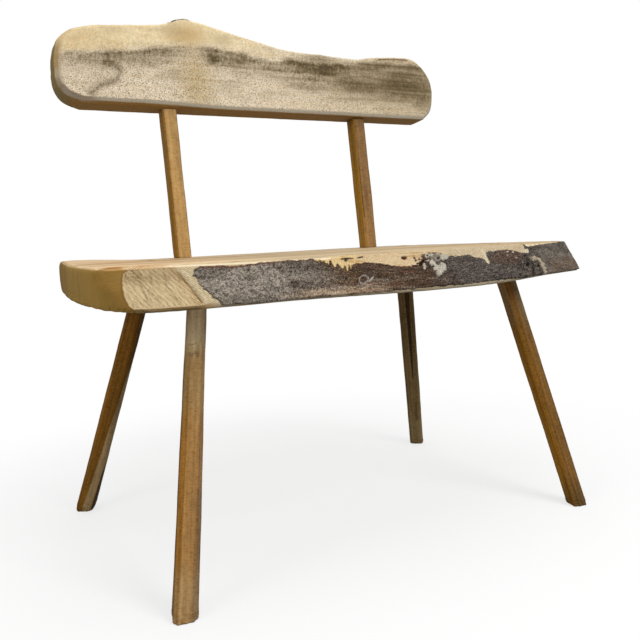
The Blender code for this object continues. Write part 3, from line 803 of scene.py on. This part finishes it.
# Tints of the left, the front and the right faces of each stave: each is the wood's own tone with
# painted light and shade that evens out or deepens how the lamps fall on that face
STAVE_TINTS_AND_SHADE = {
    "front_left_leg": ("#9a6a2b", "#a67b46", "#967149"),
    "front_right_leg": ("#9a691e", "#775428", "#6f5029"),
    "rear_left_leg": ("#7f551a", "#7f551a", "#4c3517"),
    "rear_right_leg": ("#7b643e", "#7b643e", "#5b472a"),
    "left_back_post": ("#916a29", "#b8925b", "#a27b4c"),
    "right_back_post": ("#9c7227", "#8a6842", "#755430"),
}
# Greyer or paler stretches, one of them painted light: start and end as shares of the length,
# strength, colour
STAVE_GREYS_AND_PAINTED_LIGHT = {
    # On the front left leg, the pale stretch at the top is painted light that lifts the seat's
    # shadow
    "front_left_leg": (
        (0.56, 0.76, 0.6, "#a58c5e"), (0.74, 1.05, 0.95, "#dcc89e"), (-0.1, 0.12, 0.5, "#b0946a")),
    "front_right_leg": (
        (0.68, 0.97, 0.55, "#8d7b5c"), (-0.1, 0.08, 0.7, "#4c3c20")),
    "rear_right_leg": (
        (0.02, 0.16, 0.6, "#8a7753"),),
    "left_back_post": (
        (0.5, 0.9, 0.3, "#9c7743"), (0.84, 1.05, 0.6, "#a08a64")),
    "right_back_post": (
        (0.6, 0.84, 0.3, "#735530"), (0.82, 1.05, 0.75, "#584526"), (0.05, 0.32, 0.45, "#a67c46")),
}
# Marks between two places, each with its share of the length and its left and right edge; then
# strength and colour
STAVE_MARKS = {
    "front_left_leg": (
        ((0.716, -0.007, 0.006), (0.728, -0.007, 0.008), 0.5, "#6d563a"),
        ((0.748, -0.006, 0.007), (0.753, -0.006, 0.007), 0.4, "#6d563a"),
        ((-0.02, -0.03, -0.0128), (1.0, -0.03, -0.0099), 0.5, "#543815"),
        ((-0.02, 0.0098, 0.03), (0.34, 0.0108, 0.03), 0.45, "#5a4c3a")),
    "front_right_leg": (
        ((0.12, -0.007, -0.004), (0.45, -0.007, 0.003), 0.9, "#775019"),
        ((0.45, -0.007, 0.003), (1.02, -0.007, 0.0034), 0.9, "#775019")),
    # On the rear left leg the pale strip is partly painted light, as on a chamfer turned to the
    # front, and the dark strip is bark remains with painted shade
    "rear_left_leg": (
        ((-0.01, -0.0032, 0.03), (0.78, 0.0175, 0.03), 0.9, "#a2875e"),
        ((-0.01, 0.009, 0.03), (0.45, 0.018, 0.03), 0.9, "#3a2a15")),
    "rear_right_leg": (
        ((0.36, 0.0, 0.0026), (0.92, -0.0052, 0.0066), 0.85, "#2c1c0d"),
        ((0.14, 0.0, 0.005), (0.24, 0.001, 0.004), 0.5, "#3b2c18")),
    "right_back_post": (
        ((0.3, -0.004, -0.0015), (0.62, -0.0036, -0.002), 0.6, "#4a3218"),),
}
FOOT_WEAR = {"rear_left_leg": 0.0015}
CUT_DEPTH = 0.0005                 # long cuts of the drawknife
NICK_DEPTH = 0.0003
CHIP_DEPTH = 0.001                # at the foot


def shaved_stave(node, seed):
    """Shave a stave's faces into long shallow facets, wear its foot and tint it."""
    low, high = stave_axis(node)
    axis = (high - low).normalized()
    stave = set_up(node + "_shaved", merged_copy(node))
    even_mesh(stave, STAVE_MESH, 1)
    turn = np.array(axis.rotation_difference(Vector((1, 0, 0))).to_matrix())
    places = read(stave)
    normals = read(stave, "normal")
    own = (places - np.array(low)) @ turn.T
    share = own[:, 0] / (high - low).length
    if node.endswith("leg"):
        shaved = ramp(seat_low.z - 0.001, seat_low.z - 0.008, places[:, 2])
        foot = ramp(0.022, 0.0, places[:, 2])
    else:
        start = (seat_high.z - low.z) / axis.z
        end = start + POST_CLEAR
        shaved = within(own[:, 0], start, start + 0.007, end - 0.007, end)
        foot = np.zeros(len(places))
    cuts = CUT_DEPTH * lumps(own, (0.12, 0.01, 0.01), seed)
    cuts = cuts + NICK_DEPTH * lumps(own, (0.035, 0.006, 0.006), seed + 0.5)
    chips = CHIP_DEPTH * foot * lumps(own, 0.006, seed + 0.7)
    worn_foot = FOOT_WEAR.get(node, 0.0) * ramp(0.01, 0.0, places[:, 2])
    places += normals * (shaved * (cuts + chips + 0.0002))[:, None]
    places[:, :2] -= normals[:, :2] * worn_foot[:, None]
    places[:, 2] = np.maximum(places[:, 2], 0.0)
    move(stave, places)

    left, front, right = STAVE_TINTS_AND_SHADE[node]
    # Each face takes its own tint, which holds painted light and shade as well as the wood's tone
    tint = coats(
        ground(front, own),
        (ramp(-0.4, -0.6, normals[:, 0]), left),
        (ramp(0.15, 0.4, normals[:, 0]), right))
    wander = lumps(own, (0.1, 0.01, 0.01), seed + 0.2)
    drift = lumps(own, (0.22, 0.007, 0.007), seed + 0.3)
    blots = lumps(own, (0.012, 0.006, 0.006), seed + 0.4)
    across = (places - np.array(low) - share[:, None] * np.array(high - low)) @ ACROSS
    ease = 0.05
    shaken = share + 0.05 * wander
    for start, end, strength, colour in STAVE_GREYS_AND_PAINTED_LIGHT.get(node, ()):
        band = within(shaken, start - ease, start + ease, end - ease, end + ease)
        tint = coats(tint, (strength * band * (0.8 + 0.4 * drift), colour))
    shaken = share + 0.01 * drift
    for lower, upper, strength, colour in STAVE_MARKS.get(node, ()):
        way = (shaken - lower[0]) / (upper[0] - lower[0])
        left_side = across + 0.0006 * wander - (lower[1] + way * (upper[1] - lower[1]))
        right_side = (lower[2] + way * (upper[2] - lower[2])) - across - 0.0006 * wander
        mark = ramp(-0.0005, 0.0005, np.minimum(left_side, right_side))
        mark = mark * within(way, -0.02, 0.02, 0.98, 1.02)
        tint = coats(tint, (strength * mark, colour))
    tint *= np.clip(1 + 0.2 * wander + 0.16 * drift + 0.14 * blots, 0.5, 1.5)[:, None]
    dirt = ramp(0.0, 0.5, blots + 0.6 * lumps(own, 0.007, seed + 0.6))
    tint = coats(tint, (0.5 * foot * dirt, "#4a3a24"))
    paint(stave, figure=np.ones(len(own)), tint=tint, grain=own + STAVE_PITH)
    return stave


# Shaved hardwood: narrow rings run along the faces, with long fibres and short pores
stave_finish = oiled_wood(
    "shaved_oiled_hardwood", (3.4, 4.0, 0.06), 0.14, 0.22, (5.0, 1.1, 0.18, "#3f2a12"))
for number, node in enumerate(STAVES):
    stave = shaved_stave(node, 31 + number)
    give(stave, stave_finish)
    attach(stave, "root")
    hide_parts(node)


# Wedges
# Thin hardwood wedges, driven into a saw kerf in the end of each through tenon and cut flush,
# so that only their butt shows as a dark line.
WEDGE_MESH = 0.0006
for node in STAVES:
    low, high = stave_axis(node)
    wedge = set_up(node + "_wedge_driven", merged_copy(node + "_wedge"))
    even_mesh(wedge, WEDGE_MESH, 1)
    turn = np.array((high - low).rotation_difference(Vector((1, 0, 0))).to_matrix())
    own = (read(wedge) - np.array(low)) @ turn.T
    paint(wedge, figure=np.ones(len(own)), tint=ground("#6b4a24", own), grain=own + STAVE_PITH)
    give(wedge, stave_finish)
    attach(wedge, "root")
    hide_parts(node + "_wedge")


# Backrest
# A short waney slab, sawn on both faces and shaved round its edge with a drawknife. It is
# spalted: a grey-brown band with dark spots runs along cream sapwood. It sits on two posts.
BACK_MESH = 0.00176
BACK_LEFT = 0.3694                 # its left end, from its lower middle
BACK_PITH = np.array((0.0, 0.065, 0.09))
post_low, post_high = stave_axis("left_back_post")
back_up = np.array((post_high - post_low).normalized())
back_rear = np.array((0.0, back_up[2], -back_up[1]))
back_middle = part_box("backrest_slab")[0].x + BACK_LEFT
back_corners = np.array([vert.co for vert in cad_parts["backrest_slab"].data.vertices])
back_foot = (back_corners @ back_up).min()
back_front = (back_corners @ back_rear).min()

back = set_up("backrest_spalted", merged_copy("backrest_slab"))
even_mesh(back, BACK_MESH, 1)


def on_back():
    """Places on the backrest: along it, up from its lower edge, and back from its front."""
    places = read(back)
    return np.stack((places[:, 0] - back_middle, places @ back_up - back_foot,
                     places @ back_rear - back_front), 1)


BARK_FLECK = ((-173.5, 141.5), (-160.5, 144), (-149, 146))


def bark_fleck(own, normals):
    """A flake of bark left on the crown of the backrest, 0 to 1."""
    reach = from_line(own[:, :2], BARK_FLECK) + 0.005 * lumps(own, 0.009, 82)
    ragged = own[:, 2] + 0.007 * lumps(own, 0.008, 83)
    upward = ramp(0.3, 0.5, normals @ back_up)
    return ramp(0.0065, 0.004, reach) * upward * ramp(0.019, 0.014, ragged)


# Shaved edges and sawn faces
own = on_back()
normals = read(back, "normal")
face_share = ramp(0.85, 0.98, np.abs(normals @ back_rear))
lift = face_share * 0.00025 * lumps(own, (0.1, 0.03, 0.03), 71)
lift += (1 - face_share) * (0.0009 * lumps(own, (0.03, 0.03, 0.02), 72, 2)
                            + 0.0003 * lumps(own, 0.01, 73))
lift *= 1 - 0.7 * ramp(0.15, 0.45, -(normals @ back_up))
lift += bark_fleck(own, normals) * (0.0008 + 0.0006 * lumps(own, 0.004, 84))
# The front lower arris rises a little towards the left end
rise = 0.004 * ramp(-0.08, -0.24, own[:, 0]) * ramp(0.03, 0.0, own[:, 1])
rise = rise * ramp(0.014, 0.003, own[:, 2])
# The upper left corner is a little fuller than the plain sawn outline
rise += 0.0031 * ramp(-0.17, -0.31, own[:, 0]) * ramp(0.055, 0.1, own[:, 1])
spread = 0.0034 * ramp(-0.315, -0.35, own[:, 0]) * ramp(0.075, 0.105, own[:, 1])
move(back, read(back) + normals * lift[:, None] + rise[:, None] * back_up
     - spread[:, None] * (1, 0, 0))

# Spalted band: its upper and lower edge and its strength, at places along the backrest
BAND_TOP = np.array((
    (-360, 75), (-324, 77.5), (-288, 82), (-230, 91.5), (-205, 96.5), (-165, 100), (-110, 103.7),
    (-87, 100.3), (-50, 97.5), (-22, 92), (18, 88), (36, 95), (78, 95), (116, 91.5), (173, 100),
    (234, 106), (340, 108))) / 1000
BAND_TOE = np.array((
    (-360, 52), (-326, 53), (-297, 50.5), (-288, 57), (-232, 65), (-189, 74), (-162, 86),
    (-130, 84), (-108, 74), (-70, 64), (5, 60), (86, 62), (160, 60), (195, 46), (340, 43))) / 1000
BAND_DEPTH = np.array((
    (-360, 0.5), (-300, 0.66), (-286, 0.78), (-262, 0.7), (-230, 0.68), (-190, 0.76),
    (-165, 0.5), (-140, 0.28), (-122, 0.66), (-106, 0.88), (-80, 0.72), (-50, 0.76), (-10, 0.66),
    (30, 0.82), (80, 1.0), (118, 1.08), (170, 0.92), (240, 0.84), (340, 0.8))) * (0.001, 1)
CRACK_LINE = ((-278, 62), (-269.4, 50.7), (-276.9, 38.1), (-302, 26.3), (-321, 13.1))
# Soft stains: along, up, half width and half height in millimetres, and strength
STAINS = (
    (-288, 66, 22, 13, 0.75), (-106, 86, 24, 17, 0.9), (-52, 92, 20, 12, 0.75),
    (-185, 52, 40, 20, 0.3), (-85, 40, 36, 20, 0.32), (80, 50, 85, 20, 0.48),
    (118, 86, 50, 15, 0.95), (50, 92, 34, 10, 0.9), (290, 64, 150, 54, 0.82),
    (100, 100, 60, 16, 0.5), (-300, 40, 36, 22, 0.28), (180, 32, 90, 12, 0.4),
    (330, 50, 50, 50, 0.72), (190, 58, 130, 30, 0.74), (-90, 118, 36, 18, 0.3))
GOLDEN = (-143, 45, 42, 75)
HUMP_GLOW = (-155, 122, 50, 24)
TOP_SPLIT = ((236, 112), (270, 115), (305, 115.5))

own = on_back()
normals = read(back, "normal")
along, up, depth = own.T
shaken = 0.006 * lumps(own, (0.03, 0.012, 0.03), 74) + 0.002 * lumps(own, 0.006, 75)
past_band = np.interp(along, *BAND_TOP.T) + 0.6 * shaken - up
band = ramp(-0.007, 0.006, past_band + 0.003 * lumps(own, 0.004, 85))
band = band * ramp(-0.024, 0.01, up + shaken - np.interp(along, *BAND_TOE.T))
band *= np.interp(along, *BAND_DEPTH.T) * (0.7 + 0.3 * ramp(0.026, 0.004, past_band))


def stain_at(*stain):
    """Soft stain on the backrest, 1 at its middle."""
    middle, height, half_width, half_height = np.array(stain) / 1000
    reach = np.hypot((along - middle) / half_width, (up + 0.6 * shaken - height) / half_height)
    return 1 - ramp(0.1, 1.2, reach)


grain_lines = lumps(own, (0.15, 0.004, 0.03), 81)
spalt = band * (0.85 + 0.3 * lumps(own, (0.05, 0.008, 0.03), 76))
for *place, strength in STAINS:
    spalt = np.maximum(spalt, strength * stain_at(*place))
crack_reach = from_line(own[:, :2] + 0.25 * shaken[:, None], CRACK_LINE)
crack = ramp(0.0038, 0.0014, crack_reach) * (0.55 + 0.45 * ramp(-0.2, 0.4, lumps(own, 0.0045, 77)))
crack = np.maximum(crack, 0.4 * ramp(0.01, 0.002, crack_reach))

flat_share = np.abs(normals @ back_rear)
edge = 1 - ramp(0.86, 0.97, flat_share)
front_side = ramp(0.026, 0.024, depth)
looks_down = ramp(0.15, 0.45, -(normals @ back_up))
looks_aside = ramp(0.78, 0.92, np.abs(normals[:, 0]))
bevel = ramp(0.2, 0.4, -normals[:, 0]) * front_side * (0.35 + 0.65 * ramp(0.0026, 0.0046, depth))
above = ramp(-0.006, 0.014, -past_band) * ramp(0.1, -0.12, along)
dust = lumps(own, 0.0036, 78) + 0.6 * lumps(own, (0.003, 0.01, 0.01), 79)
cloudy = ramp(0.0, 0.6, lumps(own, (0.05, 0.02, 0.03), 80))
below = ramp(0.01, 0.0, -past_band)
broken = 1.0 + (0.26 - 0.15 * ramp(0.1, 0.22, along)) * dust
broken = broken + 0.2 * grain_lines * ramp(0.1, 0.24, along)
worked = np.clip(spalt * broken + 0.1 * (dust - 0.2) * below, 0, 1.2)
tint = coats(
    ground("#e2d1b6", own),
    # Cream sapwood, yellower above the band and greyer on the right
    (above, "#e4cfa2"),
    (0.8 * above * ramp(-0.22, -0.32, along), "#d3ba8b"),
    (0.7 * ramp(-0.06, 0.3, along), "#c6b493"),
    # Golden patches and clouds
    (0.7 * stain_at(*GOLDEN), "#bba374"),
    (0.9 * stain_at(*HUMP_GLOW), "#bf9f6a"),
    (0.4 * stain_at(*HUMP_GLOW) * ramp(0.0, 0.6, dust), "#a07c48"),
    (0.3 * cloudy, "#b09d7b"),
    (0.4 * above * ramp(0.0, 0.5, lumps(own, (0.03, 0.012, 0.03), 86)), "#cfae7c"),
    # The band and its spots
    (0.95 * ramp(0.03, 0.8, worked), "#716041"),
    (0.8 * ramp(0.6, 1.05, worked), "#40331c"))
tint *= np.clip(1 + 0.17 * dust, 0.5, 1.3)[:, None]
flake = bark_fleck(own, normals)
tint = coats(
    tint,
    (0.78 * crack * front_side, "#54442f"),
    # Shaved edge: the left bevel, the ends and the underside with its pale front arris
    (edge * bevel * ramp(0.03, 0.06, up), "#a5875a"),
    (edge * bevel * ramp(0.08, 0.1, up), "#c8ab7c"),
    (edge * bevel * ramp(0.05, 0.03, up), "#98836a"),
    (edge * looks_aside, "#86703f"),
    (edge * looks_down, "#8f6c39"),
    (edge * looks_down * ramp(0.25, 0.55, -normals[:, 0]), "#7d6a42"),
    (edge * looks_down * ramp(0.0054, 0.0034, depth) * ramp(-0.33, -0.31, along), "#bab4a3"),
    (edge * looks_down * ramp(0.0085, 0.0062, depth) * ramp(-0.3, -0.33, along), "#968877"),
    # The flake of bark, and a split near the top
    (flake, "#2e2116"),
    (0.5 * flake * ramp(0.0, 0.5, dust), "#5a4836"),
    (0.8 * ramp(0.0022, 0.001, from_line(own[:, :2], TOP_SPLIT)) * front_side, "#6b4a30"))
paint(back, figure=(1 - 0.75 * above) * (1 - 0.6 * edge), tint=tint, grain=own + BACK_PITH)

# Spalted sapwood: broad faint rings under a dusty pattern of pores
give(back, oiled_wood(
    "spalted_sapwood", (5.5, 10.0, 0.1), 0.16, 0.2, (1.7, 1.4, 0.85, "#5b5039")))
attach(back, "root")
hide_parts("backrest_slab")


# Floor and light
# A plain pale floor that runs out to white, a large soft lamp from the front right, weaker ones
# overhead, on the left and behind, and an even sky. The picture's background is white.
FLOOR_HALF = 6.0
FLOOR_BOUNCE = 0.42                # grey of the floor as the bench sees it
FLOOR_SEEN = 0.95                  # and as the camera sees it
SKY_LIGHT = 0.4
floor_skin = bmesh.new()
bmesh.ops.create_grid(floor_skin, x_segments=1, y_segments=1, size=FLOOR_HALF)
floor = set_up("floor", floor_skin)
floor_finish, tree, shader = new_finish("matt_white_floor", 0.9, 0.0)
seen = add(tree, "LightPath", {})["Is Camera Ray"]
floor_grey = add(tree, "MapRange", {"Value": seen, "To Min": FLOOR_BOUNCE,
                                    "To Max": FLOOR_SEEN})["Result"]
floor_tint = add(tree, "CombineColor", {0: floor_grey, 1: floor_grey, 2: floor_grey})["Color"]
tree.links.new(floor_tint, shader.inputs["Base Color"])
floor_place = add(tree, "TexCoord", {})["Object"]
reach = add(tree, "VectorMath", {0: floor_place}, operation="LENGTH")["Value"]
far = add(tree, "MapRange", {"Value": reach, "From Min": 0.4, "From Max": 1.0, "To Min": 0.7},
          interpolation_type="SMOOTHSTEP")["Result"]
white_share = add(tree, "Math", {0: far, 1: seen}, operation="MULTIPLY")["Value"]
white = add(tree, "Emission", {"Color": (1.0, 1.0, 1.0, 1.0), "Strength": 1.0})["Emission"]
floor_mix = add(tree, "MixShader", {0: white_share, 1: shader.outputs["BSDF"], 2: white})["Shader"]
tree.links.new(floor_mix, tree.nodes["Material Output"].inputs["Surface"])
floor.data.materials.append(floor_finish)
floor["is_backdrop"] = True

world = bpy.data.worlds.new("white_studio")
bpy.context.scene.world = world
world.use_nodes = True
tree = world.node_tree
sky = tree.nodes["Background"]
sky.inputs["Color"].default_value = (1.0, 1.0, 1.0, 1.0)
seen = add(tree, "LightPath", {})["Is Camera Ray"]
strength = add(tree, "MapRange", {"Value": seen, "To Min": SKY_LIGHT, "To Max": 1.0})["Result"]
tree.links.new(strength, sky.inputs["Strength"])

LAMP_AIM = Vector((0.0, 0.0, 0.45))
# Name, place, width in metres, power in watts
LAMPS = (
    ("front_lamp", (0.8, -2.4, 2.1), 1.5, 48.0),
    ("top_lamp", (0.0, -0.2, 2.8), 2.2, 24.0),
    ("left_lamp", (-2.4, -0.8, 1.3), 1.2, 12.0),
    ("rear_lamp", (1.2, 2.6, 1.6), 1.5, 6.0),
)
for name, place, size, power in LAMPS:
    lamp_data = bpy.data.lights.new(name, "AREA")
    lamp_data.shape = "DISK"
    lamp_data.size = size
    lamp_data.energy = power
    lamp = bpy.data.objects.new(name, lamp_data)
    lamp.location = place
    lamp.rotation_euler = (LAMP_AIM - Vector(place)).to_track_quat("-Z", "Y").to_euler()
    bpy.context.scene.collection.objects.link(lamp)


# Sizes of the dressed bench
low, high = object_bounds()
